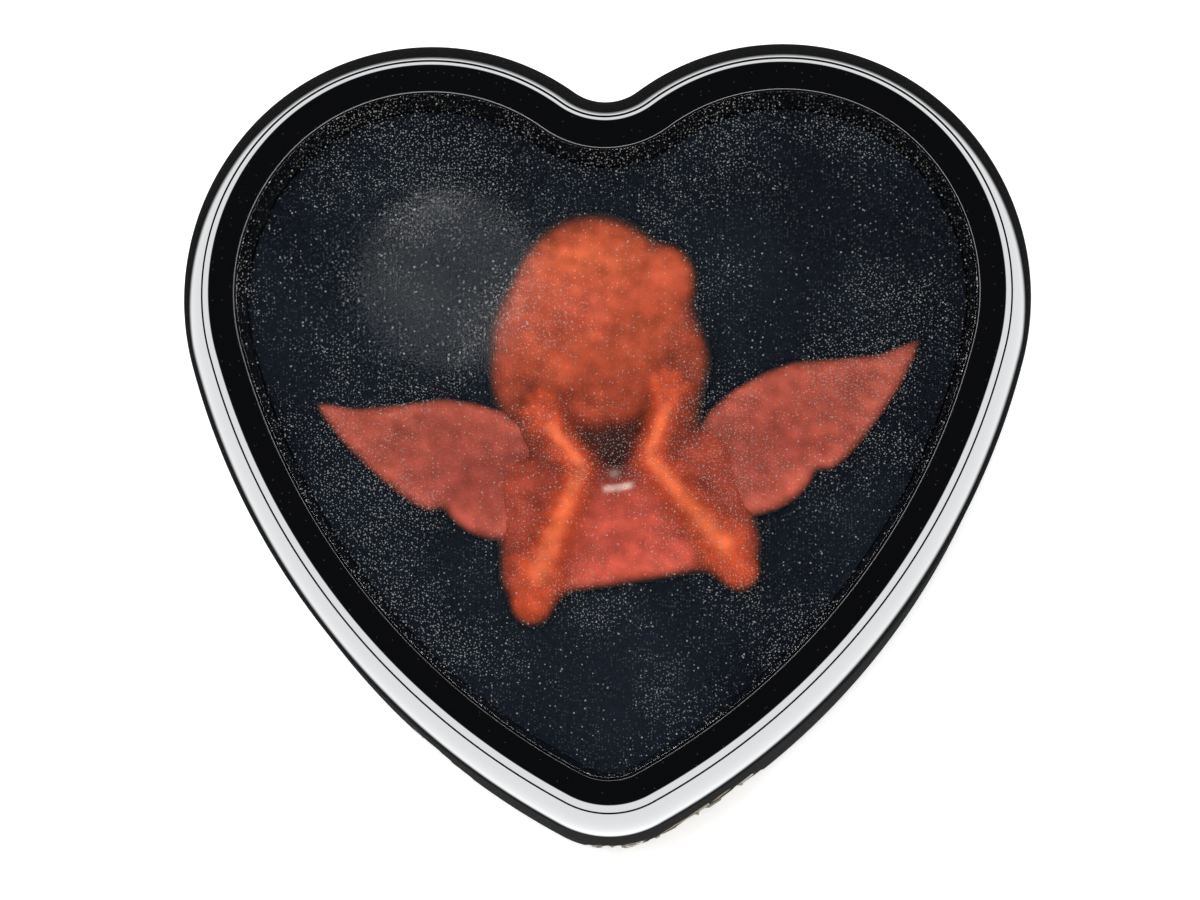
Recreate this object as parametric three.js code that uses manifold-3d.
// Heart-shaped wind up music box with a lift-off lid and an 18 note movement.
// Millimetres, +Z up. The tip of the heart points along -Y and the box stands on z = 0.
import * as THREE from 'three';
import { mergeVertices } from 'three/addons/utils/BufferGeometryUtils.js';
import Module from 'manifold-3d';

const wasm = await Module();
wasm.setup();
const { Manifold, Mesh: SolidMesh } = wasm;

// ---- driving dimensions ----

// Heart outline of the outer wall: arcs from the tip round one half to the cleft.
const TIP_RADIUS = 17;
const FLANK_RADIUS = 113;
const SIDE_RADIUS = 40;
const CLEFT_RADIUS = 8;
const TIP_TURN = 28.5;
const FLANK_TURN = 46.5;
const SIDE_TURN = 54;
const LOBE_TURN = 87.5;
const HEART_MIDDLE = 60.6;

// Heights of the case, from the table up.
const FEET_HEIGHT = 1.2;
const PLATE_BOTTOM = 9.9;
const PLATE_TOP = 12.2;
const LEDGE_BOTTOM = 12.5;
const RABBET_FLOOR = 39.5;
const SHOULDER_START = 37.1;
const SHOULDER_TOP = 43.6;
const PANE_TOP = 44;
const GAP = 0.3;

// How far each face lies inside the outer wall.
const SHOULDER_WIDTH = 4.7;
const SEAM_INSET = 3.2;
const PLATE_INSET = 4.3;
const WALL_INSET = 6;
const PANE_INSET = 8.5;
const LID_OPENING_INSET = 9.5;
const PANEL_INSET = 9.8;

// Lid layers.
const SKIRT_BOTTOM = 33.5;
const MIRROR_THICKNESS = 0.8;
const BACKING_BOTTOM = 34.6;
const BACKING_TOP = 36;
const FIGURE_BOTTOM = 36.3;
const PANE_BOTTOM = 41;
const FIGURE_TURN = 7;
const FIGURE_X = 2.5;

// Bosses that take the base plate screws, and the felt feet.
const BOSS_PLACES = [[-47, 15], [47, 15], [0, -46]];
const BOSS_RADIUS = 4;
const BOSS_TOP = 24;
const FOOT_RADIUS = 1.8;
const FOOT_HEIGHT = 1;

// Movement.
const BEDPLATE = { x0: -26, x1: 27, y0: 3.4, y1: 43, bottom: 12.5, top: 14 };
const CYLINDER_Y = 24;
const CYLINDER_Z = 24.6;
const CYLINDER_RADIUS = 6.5;
const CYLINDER_X0 = -1.5;
const CYLINDER_X1 = 15;
const PIN_HEIGHT = 0.5;
const NOTES = 18;
const NOTE_PITCH = 0.87;
const KEY_X = -15;
const CROWN_TEETH = 36;
const CROWN_RADIUS = 9;
const PINION_TEETH = 12;
const PINION_RADIUS = 3;
const WHEEL_TEETH = 30;
const WHEEL_RADIUS = 6.75;
const SECOND_PINION_TEETH = 10;
const SECOND_PINION_RADIUS = 2.25;
const SECOND_Y = CYLINDER_Y - WHEEL_RADIUS - SECOND_PINION_RADIUS - 0.1;
const WORM_WHEEL_TEETH = 20;
const WORM_WHEEL_RADIUS = 5;
const WORM_X = 18.8;
const WORM_Y = SECOND_Y - WORM_WHEEL_RADIUS - 1.45;
const WORM_THREAD_RADIUS = 1.1;
const WORM_WIRE = 0.32;
const WORM_TURNS = 2.6;
const PLUNGER_X = 25.2;
const PIVOT_X = 22.6;
const PIVOT_Z = 17.8;

// ---- shape helpers ----

const rad = (degrees) => degrees * Math.PI / 180;

// Turns a closed three.js geometry into a solid that can be cut and joined.
function solid(geometry) {
  const bare = new THREE.BufferGeometry();
  const faceted = geometry.index ? geometry.toNonIndexed() : geometry;
  bare.setAttribute('position', faceted.getAttribute('position'));
  const merged = mergeVertices(bare, 1e-4);
  return new Manifold(new SolidMesh({
    numProp: 3,
    vertProperties: new Float32Array(merged.getAttribute('position').array),
    triVerts: new Uint32Array(merged.getIndex().array),
  }));
}

function geometryOf(body) {
  const mesh = body.getMesh();
  const geometry = new THREE.BufferGeometry();
  geometry.setAttribute('position', new THREE.BufferAttribute(mesh.vertProperties, 3));
  geometry.setIndex(new THREE.BufferAttribute(mesh.triVerts, 1));
  const faceted = geometry.toNonIndexed();
  faceted.computeVertexNormals();
  return faceted;
}

const join = (...bodies) => bodies.reduce((a, b) => a.add(b));
const cut = (body, ...tools) => tools.reduce((a, b) => a.subtract(b), body);

// A flat plate with the given outline between two heights.
function plate(points, bottom, top) {
  const geometry = new THREE.ExtrudeGeometry(new THREE.Shape(points), {
    depth: top - bottom,
    bevelEnabled: false,
  });
  return solid(geometry.translate(0, 0, bottom));
}

function circle(x, y, radius, segments = 20) {
  return Array.from({ length: segments }, (_, i) => {
    const angle = 2 * Math.PI * i / segments;
    return new THREE.Vector2(x + radius * Math.cos(angle), y + radius * Math.sin(angle));
  });
}

function rectangle(x0, y0, x1, y1) {
  return [[x0, y0], [x1, y0], [x1, y1], [x0, y1]].map(([x, y]) => new THREE.Vector2(x, y));
}

function block(x0, y0, z0, x1, y1, z1) {
  const geometry = new THREE.BoxGeometry(x1 - x0, y1 - y0, z1 - z0);
  return solid(geometry.translate((x0 + x1) / 2, (y0 + y1) / 2, (z0 + z1) / 2));
}

function rod(x, y, z0, z1, radius, segments = 16) {
  const geometry = new THREE.CylinderGeometry(radius, radius, z1 - z0, segments);
  return solid(geometry.rotateX(Math.PI / 2).translate(x, y, (z0 + z1) / 2));
}

function rodAlongX(x0, x1, y, z, radius, segments = 16) {
  const geometry = new THREE.CylinderGeometry(radius, radius, x1 - x0, segments);
  return solid(geometry.rotateZ(Math.PI / 2).translate((x0 + x1) / 2, y, z));
}

function rodAlongY(y0, y1, x, z, radius, segments = 16) {
  const geometry = new THREE.CylinderGeometry(radius, radius, y1 - y0, segments);
  return solid(geometry.translate(x, (y0 + y1) / 2, z));
}

// ---- heart outline ----

// The lobe radius follows from the other arcs, because both halves must meet on the middle line.
const headings = [0, TIP_TURN, FLANK_TURN, SIDE_TURN, LOBE_TURN]
  .map((_, i, turns) => rad(turns.slice(0, i + 1).reduce((a, b) => a + b)));
const reach = (i) => Math.sin(headings[i + 1]) - Math.sin(headings[i]);
const LOBE_RADIUS = -(TIP_RADIUS * reach(0) + FLANK_RADIUS * reach(1) + SIDE_RADIUS * reach(2)
  + CLEFT_RADIUS * Math.sin(headings[4])) / reach(3);

// Points of the outline that lies `inset` inside the outer wall, counter-clockwise from the tip.
function heart(inset) {
  const arcs = [
    [TIP_RADIUS - inset, TIP_TURN, 4],
    [FLANK_RADIUS - inset, FLANK_TURN, 7],
    [SIDE_RADIUS - inset, SIDE_TURN, 7],
    [LOBE_RADIUS - inset, LOBE_TURN, 11],
    [CLEFT_RADIUS + inset, 180 - TIP_TURN - FLANK_TURN - SIDE_TURN - LOBE_TURN, 4],
  ];
  const half = [new THREE.Vector2(0, inset - HEART_MIDDLE)];
  let heading = 0;
  for (const [radius, turn, steps] of arcs) {
    const side = Math.sign(turn);
    const start = half[half.length - 1];
    for (let i = 1; i <= steps; i++) {
      const next = heading + rad(turn) * i / steps;
      half.push(new THREE.Vector2(
        start.x + side * radius * (Math.sin(next) - Math.sin(heading)),
        start.y - side * radius * (Math.cos(next) - Math.cos(heading)),
      ));
    }
    heading += rad(turn);
  }
  half[half.length - 1].x = 0;
  const mirrored = half.slice(1, -1).reverse().map((p) => new THREE.Vector2(-p.x, p.y));
  return [...half, ...mirrored];
}

// ---- assembly ----

const musicBox = new THREE.Group();

function add(name, body, color, roughness, metalness = 0) {
  const material = new THREE.MeshStandardMaterial({ color, roughness, metalness });
  const mesh = new THREE.Mesh(geometryOf(body), material);
  mesh.name = name;
  musicBox.add(mesh);
}

const LACQUER = 0x0b0c0f;
const BRASS = 0xc8a24a;
const STEEL = 0xb9bcc0;

// ---- case ----

// The whole closed outer form; the rim and the lid are both cut out of it.
const shoulderShape = new THREE.Shape(heart(SHOULDER_WIDTH));
const outerForm = solid(new THREE.ExtrudeGeometry(shoulderShape, {
  depth: SHOULDER_START + 12,
  bevelThickness: SHOULDER_TOP - SHOULDER_START,
  bevelSize: SHOULDER_WIDTH,
  bevelSegments: 5,
}).translate(0, 0, -12));
const aboveFeet = plate(heart(-2), FEET_HEIGHT, PANE_TOP + 2);

let wall = outerForm.intersect(aboveFeet);
wall = cut(
  wall,
  plate(heart(SEAM_INSET), RABBET_FLOOR, PANE_TOP + 4),
  plate(heart(WALL_INSET), LEDGE_BOTTOM, PANE_TOP),
  plate(heart(PLATE_INSET - GAP), 0, LEDGE_BOTTOM),
);
const wallFilling = plate(heart(WALL_INSET - 1), LEDGE_BOTTOM, BOSS_TOP);
for (const [x, y] of BOSS_PLACES) {
  const web = x === 0
    ? block(-BOSS_RADIUS, y - 14, LEDGE_BOTTOM, BOSS_RADIUS, y, BOSS_TOP)
    : block(Math.min(x, 1.3 * x), y - BOSS_RADIUS, LEDGE_BOTTOM, Math.max(x, 1.3 * x), y + BOSS_RADIUS, BOSS_TOP);
  const boss = join(rod(x, y, LEDGE_BOTTOM, BOSS_TOP, BOSS_RADIUS), web);
  wall = join(wall, boss.intersect(wallFilling));
  wall = cut(wall, rod(x, y, LEDGE_BOTTOM - 1, LEDGE_BOTTOM + 9, 1.3, 12));
}
add('base_wall', wall, LACQUER, 0.12);

// The feet lie along the middle of the wall's lower face: one on each lobe and one at the tip.
const footLine = heart(PLATE_INSET / 2);
const LOBE_FOOT = 21;
const footPlaces = [footLine[footLine.length - LOBE_FOOT], footLine[LOBE_FOOT], footLine[0]];
footPlaces.forEach((place, i) => {
  const foot = rod(place.x, place.y, 0, FOOT_HEIGHT, FOOT_RADIUS, 20);
  add(`foot_${['left', 'right', 'tip'][i]}`, foot, 0x1c1c1e, 0.95);
});

// The plate has a hole for the winding arbor, two for the bedplate screws and three for its own.
const BED_SCREWS = [[-22, 9], [8, 9]];
let basePlate = plate(heart(PLATE_INSET), PLATE_BOTTOM, PLATE_TOP);
basePlate = cut(basePlate, rod(KEY_X, CYLINDER_Y, PLATE_BOTTOM - 1, PLATE_TOP + 1, 2.7, 20));
for (const [x, y] of [...BOSS_PLACES, ...BED_SCREWS]) {
  basePlate = cut(basePlate, rod(x, y, PLATE_BOTTOM - 1, PLATE_TOP + 1, 1.3, 12));
}
add('base_plate', basePlate, 0x15161a, 0.6);

function screwFromBelow(x, y, length) {
  const head = rod(x, y, PLATE_BOTTOM - GAP - 1.2, PLATE_BOTTOM - GAP, 2.4, 14);
  const shank = rod(x, y, PLATE_BOTTOM - GAP - 0.1, PLATE_BOTTOM + length, 1, 10);
  const slot = block(x - 3, y - 0.3, PLATE_BOTTOM - GAP - 1.4, x + 3, y + 0.3, PLATE_BOTTOM - GAP - 0.6);
  return cut(join(head, shank), slot);
}
BOSS_PLACES.forEach(([x, y], i) => {
  add(`plate_screw_${['left', 'right', 'tip'][i]}`, screwFromBelow(x, y, 10.5), STEEL, 0.35, 1);
});

// ---- inside of the base ----

const COVER = { x0: -27.4, x1: 28.4, y0: 2.2, y1: 44.4, wall: 0.9, top: 33.1 };
let lining = plate(heart(WALL_INSET + GAP), LEDGE_BOTTOM, LEDGE_BOTTOM + 0.8);
lining = cut(lining, plate(
  rectangle(COVER.x0 - GAP, COVER.y0 - GAP, COVER.x1 + GAP, COVER.y1 + 6), 0, PANE_TOP));
for (const [x, y] of BOSS_PLACES) {
  const clear = BOSS_RADIUS + GAP;
  const away = x === 0
    ? block(-clear, y - 20, 0, clear, y, PANE_TOP)
    : block(Math.min(x, 1.4 * x), y - clear, 0, Math.max(x, 1.4 * x), y + clear, PANE_TOP);
  lining = cut(lining, rod(x, y, 0, PANE_TOP, clear), away);
}
add('tray_lining', lining, 0x5a0f17, 1);

const DIVIDER_Y = 0.2;
const DIVIDER_HEIGHT = 13;
const dividerBottom = LEDGE_BOTTOM + 0.8 + GAP;
const divider = plate(rectangle(-70, DIVIDER_Y, 70, DIVIDER_Y + 1.4),
  dividerBottom, dividerBottom + DIVIDER_HEIGHT)
  .intersect(plate(heart(WALL_INSET + GAP), LEDGE_BOTTOM, PANE_TOP));
add('divider', divider, LACQUER, 0.3);

let cover = cut(
  block(COVER.x0, COVER.y0, BEDPLATE.bottom, COVER.x1, COVER.y1, COVER.top),
  block(COVER.x0 + COVER.wall, COVER.y0 + COVER.wall, 0,
    COVER.x1 - COVER.wall, COVER.y1 - COVER.wall, COVER.top - COVER.wall),
  rod(PLUNGER_X, WORM_Y, COVER.top - 3, COVER.top + 1, 1.5, 14),
);
add('movement_cover', cover, 0xdfe6ea, 0.1);

// ---- movement frame ----

const COMB_BLOCK = { x0: -5, x1: 19, y0: 36.4, y1: 42.4, top: CYLINDER_Z - 0.7 };
const COMB_SCREWS = [1.5, 12.5];
let bedplate = block(BEDPLATE.x0, BEDPLATE.y0, BEDPLATE.bottom, BEDPLATE.x1, BEDPLATE.y1, BEDPLATE.top);
bedplate = join(bedplate, block(COMB_BLOCK.x0, COMB_BLOCK.y0, BEDPLATE.top - 0.5,
  COMB_BLOCK.x1, COMB_BLOCK.y1, COMB_BLOCK.top));
bedplate = cut(bedplate, rod(KEY_X, CYLINDER_Y, BEDPLATE.bottom - 1, BEDPLATE.top + 1, 2.7, 20));
for (const [x, y] of BED_SCREWS) {
  bedplate = cut(bedplate, rod(x, y, BEDPLATE.bottom - 1, BEDPLATE.top + 1, 1.3, 12));
}
for (const x of COMB_SCREWS) {
  bedplate = cut(bedplate, rod(x, 39.6, COMB_BLOCK.top - 5, COMB_BLOCK.top + 1, 1.3, 12));
}
add('bedplate', bedplate, BRASS, 0.35, 1);
BED_SCREWS.forEach(([x, y], i) => {
  add(`bedplate_screw_${['left', 'right'][i]}`, screwFromBelow(x, y, 3.8), STEEL, 0.35, 1);
});

// The comb: long teeth for the low notes, short ones for the high notes.
const COMB_TIP_Y = CYLINDER_Y + CYLINDER_RADIUS + PIN_HEIGHT + 0.25;
const COMB_BACK_Y = 42;
const firstNote = CYLINDER_X0 + 0.85;
const combOutline = [[COMB_BLOCK.x0, COMB_BACK_Y], [COMB_BLOCK.x0, 35.6]];
for (let note = 0; note < NOTES; note++) {
  const x = firstNote + note * NOTE_PITCH;
  const root = 37 - 2.4 * note / NOTES;
  combOutline.push([x - 0.3, root], [x - 0.3, COMB_TIP_Y], [x + 0.3, COMB_TIP_Y], [x + 0.3, root]);
}
combOutline.push([COMB_BLOCK.x1, 34.4], [COMB_BLOCK.x1, COMB_BACK_Y]);
const combBottom = COMB_BLOCK.top + GAP;
let comb = plate(combOutline.map(([x, y]) => new THREE.Vector2(x, y)), combBottom, combBottom + 0.8);
for (const x of COMB_SCREWS) {
  comb = cut(comb, rod(x, 39.6, combBottom - 1, combBottom + 2, 1.3, 12));
}
add('comb', comb, STEEL, 0.3, 1);
COMB_SCREWS.forEach((x, i) => {
  const seat = combBottom + 0.8 + GAP;
  const head = cut(rod(x, 39.6, seat, seat + 1.3, 2.2, 16), block(x - 3, 39.3, seat + 0.7, x + 3, 39.9, seat + 2));
  const screw = join(head, rod(x, 39.6, seat - 5, seat + 0.1, 1, 10));
  add(`comb_screw_${['left', 'right'][i]}`, screw, STEEL, 0.3, 1);
});

// Brackets of the cylinder; the right one also carries the second arbor.
const bracketFoot = BEDPLATE.top + GAP;
let leftBracket = block(-3.7, 19.5, bracketFoot, -2.5, 28.5, CYLINDER_Z + 2.6);
leftBracket = cut(leftBracket, rodAlongX(-6, 0, CYLINDER_Y, CYLINDER_Z, 1.3, 14));
add('cylinder_bracket_left', leftBracket, BRASS, 0.35, 1);

let rightBracket = join(
  block(21.2, 12.4, bracketFoot, 22.4, 28.5, CYLINDER_Z + 2.6),
  block(22.3, 14, bracketFoot, 26, 27, bracketFoot + 1.2),
);
rightBracket = cut(
  rightBracket,
  rodAlongX(20, 24, CYLINDER_Y, CYLINDER_Z, 1.3, 14),
  rodAlongX(20, 24, SECOND_Y, CYLINDER_Z, 1, 14),
);
add('cylinder_bracket_right', rightBracket, BRASS, 0.35, 1);

// ---- spring, key and great wheel ----

const BARREL = { radius: 10.2, bottom: BEDPLATE.top + GAP, top: 19.4 };
const barrel = cut(
  rod(KEY_X, CYLINDER_Y, BARREL.bottom, BARREL.top, BARREL.radius, 40),
  rod(KEY_X, CYLINDER_Y, BARREL.bottom + 0.9, BARREL.top + 1, BARREL.radius - 0.9, 40),
  rod(KEY_X, CYLINDER_Y, BARREL.bottom - 1, BARREL.top, 2.7, 20),
);
add('spring_barrel', barrel, BRASS, 0.3, 1);

const SPRING_TURNS = 3.4;
const SPRING_STEPS = 68;
const spiral = (offset) => Array.from({ length: SPRING_STEPS + 1 }, (_, i) => {
  const share = i / SPRING_STEPS;
  const radius = 3.2 + 5.2 * share + offset;
  const angle = 2 * Math.PI * SPRING_TURNS * share;
  return new THREE.Vector2(KEY_X + radius * Math.cos(angle), CYLINDER_Y + radius * Math.sin(angle));
});
const mainspring = plate([...spiral(0.25), ...spiral(-0.25).reverse()],
  BARREL.bottom + 1.3, BARREL.top - 0.4);
add('mainspring', mainspring, 0x7d8894, 0.35, 1);

const crownBottom = BARREL.top + 0.5;
const crownFace = crownBottom + 1;
const crownTip = CYLINDER_Z - PINION_RADIUS + 0.4;
let greatWheel = rod(KEY_X, CYLINDER_Y, crownBottom, crownFace, CROWN_RADIUS + 0.9, 36);
const crownTooth = new THREE.Shape([[-0.42, -0.1], [0.42, -0.1], [0.16, crownTip - crownFace],
  [-0.16, crownTip - crownFace]].map(([x, y]) => new THREE.Vector2(x, y)));
for (let i = 0; i < CROWN_TEETH; i++) {
  const angle = 360 * (i + 0.5) / CROWN_TEETH;
  const tooth = new THREE.ExtrudeGeometry(crownTooth, { depth: 1.6, bevelEnabled: false })
    .rotateX(Math.PI / 2).rotateZ(Math.PI / 2)
    .translate(CROWN_RADIUS - 0.8, 0, crownFace)
    .rotateZ(rad(angle)).translate(KEY_X, CYLINDER_Y, 0);
  greatWheel = join(greatWheel, solid(tooth));
}
greatWheel = cut(greatWheel, rod(KEY_X, CYLINDER_Y, crownBottom - 1, crownTip + 1, 2.3, 16));
add('great_wheel', greatWheel, BRASS, 0.3, 1);

const KEY_TOP = PLATE_BOTTOM - 0.5;
const arbor = rod(KEY_X, CYLINDER_Y, KEY_TOP - 4, crownFace + 0.6, 2, 20);
add('winding_arbor', arbor, STEEL, 0.3, 1);

// Butterfly key: two rounded wings on a hub that grips the end of the arbor.
const wings = new THREE.Shape();
const WING_HEIGHT = 7.4;
wings.moveTo(-3, WING_HEIGHT);
wings.lineTo(-9, WING_HEIGHT);
wings.absarc(-9, WING_HEIGHT / 2, WING_HEIGHT / 2, Math.PI / 2, 1.5 * Math.PI);
wings.lineTo(9, 0);
wings.absarc(9, WING_HEIGHT / 2, WING_HEIGHT / 2, -Math.PI / 2, Math.PI / 2);
wings.lineTo(-3, WING_HEIGHT);
for (const side of [-1, 1]) {
  const eye = new THREE.Path();
  eye.absarc(side * 8.6, WING_HEIGHT / 2, 1.7, 0, 2 * Math.PI);
  wings.holes.push(eye);
}
const wingPlate = solid(new THREE.ExtrudeGeometry(wings, { depth: 1.8, bevelEnabled: false, curveSegments: 10 })
  .rotateX(Math.PI / 2).translate(KEY_X, CYLINDER_Y + 0.9, FEET_HEIGHT + 0.6));
const keyHub = rod(KEY_X, CYLINDER_Y, FEET_HEIGHT + 1.4, KEY_TOP, 3.4, 20);
const arborSocket = rod(KEY_X, CYLINDER_Y, KEY_TOP - 4 - GAP, KEY_TOP + 1, 2.3, 20);
add('winding_key', cut(join(wingPlate, keyHub), arborSocket), BRASS, 0.3, 1);

// ---- toothed wheels along X ----

// A wheel with straight-sided teeth; its first tooth points along +Y.
function toothedWheel(teeth, pitchRadius, addendum, dedendum, x0, x1, bore, firstTooth) {
  const pitch = 2 * Math.PI / teeth;
  const root = pitchRadius - dedendum;
  const tip = pitchRadius + addendum;
  const outline = [];
  for (let i = 0; i < teeth; i++) {
    const middle = i * pitch + firstTooth;
    for (const [radius, share] of [[root, -0.24], [tip, -0.09], [tip, 0.09], [root, 0.24]]) {
      const angle = middle + share * pitch;
      outline.push(new THREE.Vector2(radius * Math.cos(angle), radius * Math.sin(angle)));
    }
  }
  const shape = new THREE.Shape(outline);
  shape.holes.push(new THREE.Path(circle(0, 0, bore, 16)));
  const geometry = new THREE.ExtrudeGeometry(shape, { depth: x1 - x0, bevelEnabled: false });
  return solid(geometry.rotateX(Math.PI / 2).rotateZ(Math.PI / 2).translate(x0, 0, 0));
}
const onAxis = (body, y) => body.translate(0, y, CYLINDER_Z);

// ---- pinned cylinder ----

let cylinder = cut(
  rodAlongX(CYLINDER_X0, CYLINDER_X1, 0, 0, CYLINDER_RADIUS, 44),
  rodAlongX(CYLINDER_X0 - 1, CYLINDER_X1 + 1, 0, 0, 1.3, 12),
);
const PIN_ROWS = 3;
for (let note = 0; note < NOTES; note++) {
  for (let row = 0; row < PIN_ROWS; row++) {
    const angle = 2 * Math.PI * (row + ((note * 7 + row * 5) % NOTES) / NOTES) / PIN_ROWS;
    const pin = new THREE.BoxGeometry(0.4, 0.4, 1.2)
      .translate(firstNote + note * NOTE_PITCH, 0, CYLINDER_RADIUS + PIN_HEIGHT - 0.6)
      .rotateX(angle);
    cylinder = join(cylinder, solid(pin));
  }
}
add('cylinder', onAxis(cylinder, CYLINDER_Y), BRASS, 0.28, 1);
add('cylinder_arbor', rodAlongX(-8.4, 23.4, CYLINDER_Y, CYLINDER_Z, 1, 14), STEEL, 0.3, 1);

const pinionX = KEY_X + CROWN_RADIUS;
const pinion = toothedWheel(PINION_TEETH, PINION_RADIUS, 0.4, 0.65, pinionX - 0.7, pinionX + 0.7, 1.3,
  -Math.PI / 2);
add('cylinder_pinion', onAxis(pinion, CYLINDER_Y), STEEL, 0.3, 1);

const wheel = toothedWheel(WHEEL_TEETH, WHEEL_RADIUS, 0.4, 0.6, 15.5, 16.7, 1.3, Math.PI);
add('cylinder_wheel', onAxis(wheel, CYLINDER_Y), BRASS, 0.3, 1);

// ---- second arbor with its pinion and worm wheel ----

const secondPinion = toothedWheel(SECOND_PINION_TEETH, SECOND_PINION_RADIUS, 0.36, 0.6, 15.3, 16.9, 1,
  Math.PI / SECOND_PINION_TEETH);
add('second_pinion', onAxis(secondPinion, SECOND_Y), STEEL, 0.3, 1);
const wormWheel = toothedWheel(WORM_WHEEL_TEETH, WORM_WHEEL_RADIUS, 0.4, 0.7, 18, 19.6, 1,
  Math.PI + Math.PI / WORM_WHEEL_TEETH);
add('worm_wheel', onAxis(wormWheel, SECOND_Y), BRASS, 0.3, 1);
add('second_arbor', rodAlongX(12.8, 22.9, SECOND_Y, CYLINDER_Z, 0.7, 12), STEEL, 0.3, 1);

// ---- governor ----

// The single-start thread is as steep as one tooth of the worm wheel.
const wormPitch = 2 * Math.PI * WORM_WHEEL_RADIUS / WORM_WHEEL_TEETH;
class Helix extends THREE.Curve {
  constructor(radius, pitch, turns, phase) {
    super();
    Object.assign(this, { radius, pitch, turns, phase });
  }

  getPoint(t, target = new THREE.Vector3()) {
    const turn = (t - 0.5) * this.turns;
    const angle = this.phase + 2 * Math.PI * turn;
    return target.set(this.radius * Math.cos(angle), this.radius * Math.sin(angle), this.pitch * turn);
  }
}
function coil(radius, pitch, turns, phase, wire, stepsPerTurn, sides) {
  const section = new THREE.Shape(circle(0, 0, wire, sides));
  return solid(new THREE.ExtrudeGeometry(section, {
    steps: Math.round(turns * stepsPerTurn),
    extrudePath: new Helix(radius, pitch, turns, phase),
  }));
}
const thread = coil(WORM_THREAD_RADIUS, wormPitch, WORM_TURNS, Math.PI / 2, WORM_WIRE, 12, 7)
  .translate(WORM_X, WORM_Y, CYLINDER_Z);
const wormHalf = WORM_TURNS * wormPitch / 2;
const BRAKE_DISC = { bottom: 19, top: 19.8, radius: 2.2 };
const worm = join(
  rod(WORM_X, WORM_Y, 15.2, 31.3, 0.55, 12),
  rod(WORM_X, WORM_Y, CYLINDER_Z - wormHalf - 0.3, CYLINDER_Z + wormHalf + 0.3, 0.9, 14),
  thread,
  rod(WORM_X, WORM_Y, BRAKE_DISC.bottom, BRAKE_DISC.top, BRAKE_DISC.radius, 20),
);
add('governor_worm', worm, STEEL, 0.3, 1);

const VANE_RADIUS = 2.8;
const VANE_BOTTOM = 28.8;
const vanes = cut(
  join(
    rod(WORM_X, WORM_Y, VANE_BOTTOM, 31, 1.3, 14),
    block(WORM_X - VANE_RADIUS, WORM_Y - 0.3, VANE_BOTTOM, WORM_X + VANE_RADIUS, WORM_Y + 0.3, 31),
  ),
  rod(WORM_X, WORM_Y, 28, 32, 0.85, 12),
);
add('air_vanes', vanes, 0x8c2a22, 0.5);

// One bracket holds the governor spindle, the second arbor's end and the stop lever.
const governorFoot = bracketFoot + 1;
const armBottom = 27.3;
let governorBracket = join(
  block(13.2, WORM_Y - 1.8, bracketFoot, 26.7, WORM_Y + 2.2, governorFoot),
  block(13.2, WORM_Y - 1.8, bracketFoot, 14.4, SECOND_Y + 1.7, armBottom + 1),
  block(13.2, WORM_Y - 1.6, armBottom, WORM_X + 1.5, WORM_Y + 1.2, armBottom + 1),
  block(PIVOT_X - 1.1, WORM_Y - 1.8, bracketFoot, PIVOT_X + 1.1, WORM_Y - 1.1, PIVOT_Z + 1.1),
  block(PIVOT_X - 1.1, WORM_Y + 1.1, bracketFoot, PIVOT_X + 1.1, WORM_Y + 1.8, PIVOT_Z + 1.1),
);
governorBracket = cut(
  governorBracket,
  rod(WORM_X, WORM_Y, governorFoot - 0.6, armBottom + 2, 0.85, 12),
  rodAlongX(12, 16, SECOND_Y, CYLINDER_Z, 1, 14),
  rodAlongY(WORM_Y - 3, WORM_Y + 3, PIVOT_X, PIVOT_Z, 0.9, 12),
);
add('governor_bracket', governorBracket, BRASS, 0.35, 1);

// ---- stop work: the closed lid presses the plunger, and the lever brakes the governor ----

const pivotPin = rodAlongY(WORM_Y - 2, WORM_Y + 2, PIVOT_X, PIVOT_Z, 0.6, 12);
add('stop_lever_pin', pivotPin, STEEL, 0.3, 1);
const stopLever = cut(
  join(
    block(19.6, WORM_Y - 0.7, PIVOT_Z, 26.3, WORM_Y + 0.7, PIVOT_Z + 0.8),
    block(PIVOT_X - 1.1, WORM_Y - 0.7, PIVOT_Z - 1.1, PIVOT_X + 1.1, WORM_Y + 0.7, PIVOT_Z + 0.8),
  ),
  rodAlongY(WORM_Y - 1, WORM_Y + 1, PIVOT_X, PIVOT_Z, 0.9, 12),
);
add('stop_lever', stopLever, STEEL, 0.35, 1);
const plunger = join(
  rod(PLUNGER_X, WORM_Y, PIVOT_Z + 1.1, SKIRT_BOTTOM - GAP, 0.9, 14),
  rod(PLUNGER_X, WORM_Y, PIVOT_Z + 1.1, PIVOT_Z + 1.9, 1.5, 14),
);
add('stop_plunger', plunger, BRASS, 0.3, 1);
const springBottom = governorFoot + GAP;
const springTop = PIVOT_Z - GAP;
const springWire = 0.2;
const springHeight = springTop - springBottom - 2 * springWire;
const stopSpring = coil(0.9, springHeight / 3.5, 3.5, 0, springWire, 9, 5)
  .translate(PLUNGER_X, WORM_Y, (springBottom + springTop) / 2);
add('stop_spring', stopSpring, STEEL, 0.3, 1);

// ---- lid ----

const ringBottom = RABBET_FLOOR + GAP;
const lidFrame = cut(
  join(
    outerForm.intersect(plate(heart(SEAM_INSET + GAP), ringBottom, PANE_TOP)),
    plate(heart(WALL_INSET + GAP), SKIRT_BOTTOM, ringBottom + 0.5),
  ),
  plate(heart(LID_OPENING_INSET), SKIRT_BOTTOM - 1, PANE_TOP),
  plate(heart(PANE_INSET - GAP), PANE_BOTTOM - GAP, PANE_TOP + 1),
);
add('lid_frame', lidFrame, LACQUER, 0.1);

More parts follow.
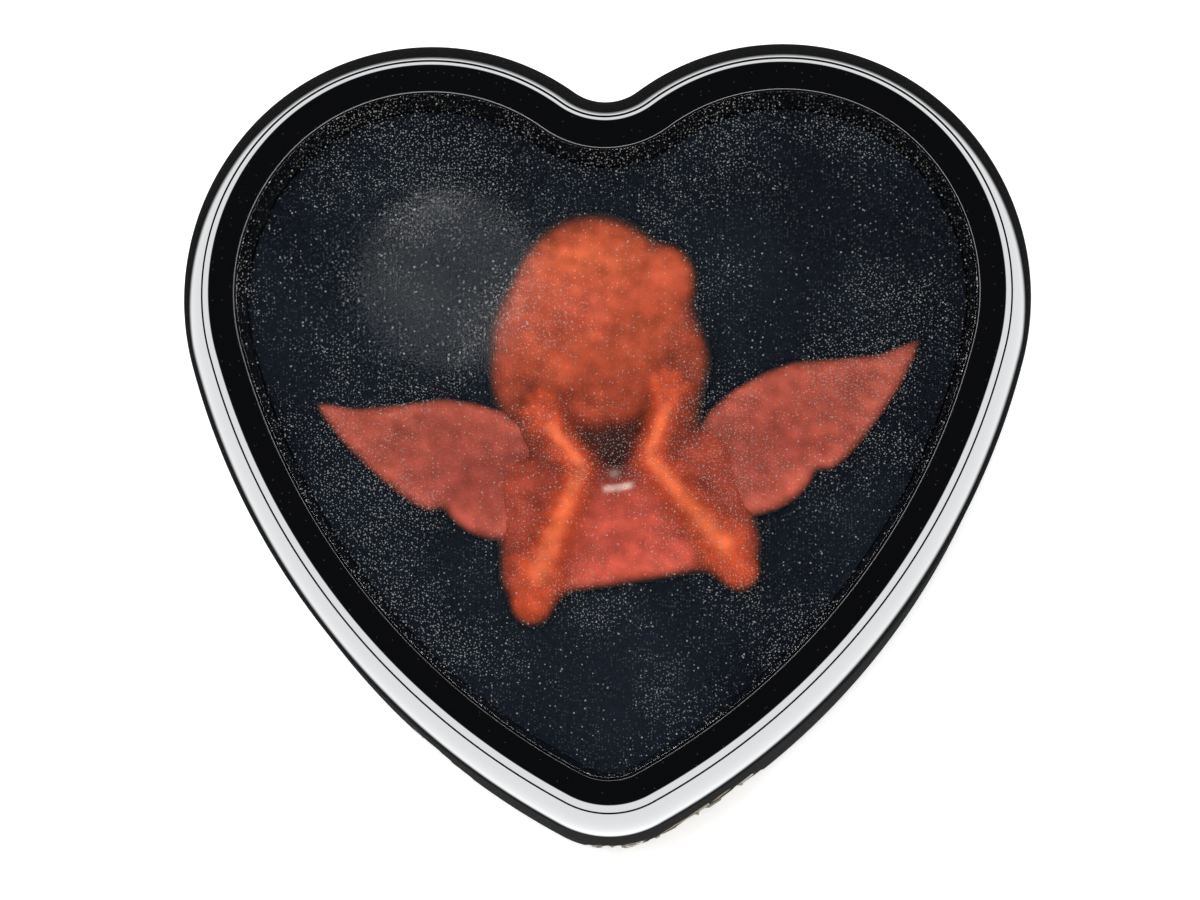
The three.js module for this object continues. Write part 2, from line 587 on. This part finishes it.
const PANE_BEVEL = 0.35;
const pane = solid(new THREE.ExtrudeGeometry(new THREE.Shape(heart(PANE_INSET + PANE_BEVEL)), {
  depth: PANE_TOP - PANE_BOTTOM - 2 * PANE_BEVEL,
  bevelThickness: PANE_BEVEL,
  bevelSize: PANE_BEVEL,
  bevelSegments: 1,
}).translate(0, 0, PANE_BOTTOM + PANE_BEVEL));
add('lid_window', pane, 0x11151b, 0.2);

add('backing_panel', plate(heart(PANEL_INSET), BACKING_BOTTOM, BACKING_TOP), 0x0c1016, 0.7);
add('lid_mirror', plate(heart(PANEL_INSET), SKIRT_BOTTOM, SKIRT_BOTTOM + MIRROR_THICKNESS), 0xe8ecef, 0.05, 1);

// ---- winged cherub in shallow relief ----

// The figure's own middle line is turned a little against the box, and lies a little to the right.
const place = (body) => body.rotate([0, 0, FIGURE_TURN]).translate(FIGURE_X, 0, 0);

// Rounded masses of the relief: x, y, half width, half length, height, turn in degrees.
const MIDDLE_MASSES = [
  [0, 18, 14.4, 15.2, 3.8, 0],
  [0, 8, 8, 7.5, 3.9, 0],
  [0, -4, 7, 6, 2.2, 0],
  [0, -13, 13, 9.8, 2.6, 0],
];
const SIDE_MASSES = [
  [15, 11.5, 2.6, 4, 2.2, 0],
  [8.6, 3, 3.6, 6.6, 3.9, -34],
  [10.6, -14.6, 4.4, 12.4, 3.9, 28],
  [14, -6, 4.6, 5, 3, 0],
  [15.2, -14, 2.6, 9.8, 2.8, 4],
];
const CURL = [11.5, 23, 4.2, 4.2, 3.4, 0];
const bothSides = SIDE_MASSES.flatMap((mass) => [mass, [-mass[0], ...mass.slice(1, 5), -mass[5]]]);
const MASSES = [...MIDDLE_MASSES, ...bothSides, CURL];
const MASS_MIDDLE = FIGURE_BOTTOM + 0.2;

// The masses joined, each grown by `margin`, with the side towards the backing cut off flat.
function relief(margin) {
  const rounded = MASSES.map(([x, y, halfX, halfY, height, turn]) => solid(
    new THREE.SphereGeometry(1, 14, 8)
      .rotateX(Math.PI / 2)
      .scale(halfX + margin, halfY + margin, height + 2 * margin)
      .rotateZ(rad(turn))
      .translate(x, y, MASS_MIDDLE),
  ));
  const room = plate(rectangle(-30, -40, 30, 40), FIGURE_BOTTOM, PANE_BOTTOM - GAP + margin);
  return place(join(...rounded).intersect(room));
}

const FIGURE_COLOR = 0xa8402a;
add('cherub_figure', relief(0), FIGURE_COLOR, 0.6);

// Each wing has a smooth top edge and feathers that end in scallops below.
const WING_ROOT = [13, -13];
const WING_SHOULDER = [13.5, 2];
const WING_HUMP = [29, 8.2];
const WING_TIP = [45, 10];
const FEATHER_ENDS = [[41.8, 2.8], [36, -4.4], [30.5, -9], [24.8, -12.7], [19, -14.8], WING_ROOT];
const WING_THICKNESS = 1.7;
function wing(side) {
  const shape = new THREE.Shape();
  const at = ([x, y]) => [side * x, y];
  shape.moveTo(...at(WING_ROOT));
  shape.lineTo(...at(WING_SHOULDER));
  shape.quadraticCurveTo(...at([20, 9.5]), ...at(WING_HUMP));
  shape.quadraticCurveTo(...at([38, 7.2]), ...at(WING_TIP));
  let from = WING_TIP;
  for (const end of FEATHER_ENDS) {
    const bulge = [(from[0] + end[0]) / 2 + 1.2, (from[1] + end[1]) / 2 - 1.6];
    shape.quadraticCurveTo(...at(bulge), ...at(end));
    from = end;
  }
  const flat = new THREE.ExtrudeGeometry(shape, { depth: WING_THICKNESS, bevelEnabled: false, curveSegments: 6 });
  const whole = place(solid(flat.translate(0, 0, FIGURE_BOTTOM)));
  const pieces = cut(whole, relief(0.4)).decompose();
  return pieces.reduce((a, b) => (a.volume() > b.volume() ? a : b));
}
add('cherub_wing_left', wing(-1), FIGURE_COLOR, 0.65);
add('cherub_wing_right', wing(1), FIGURE_COLOR, 0.65);

export default musicBox;
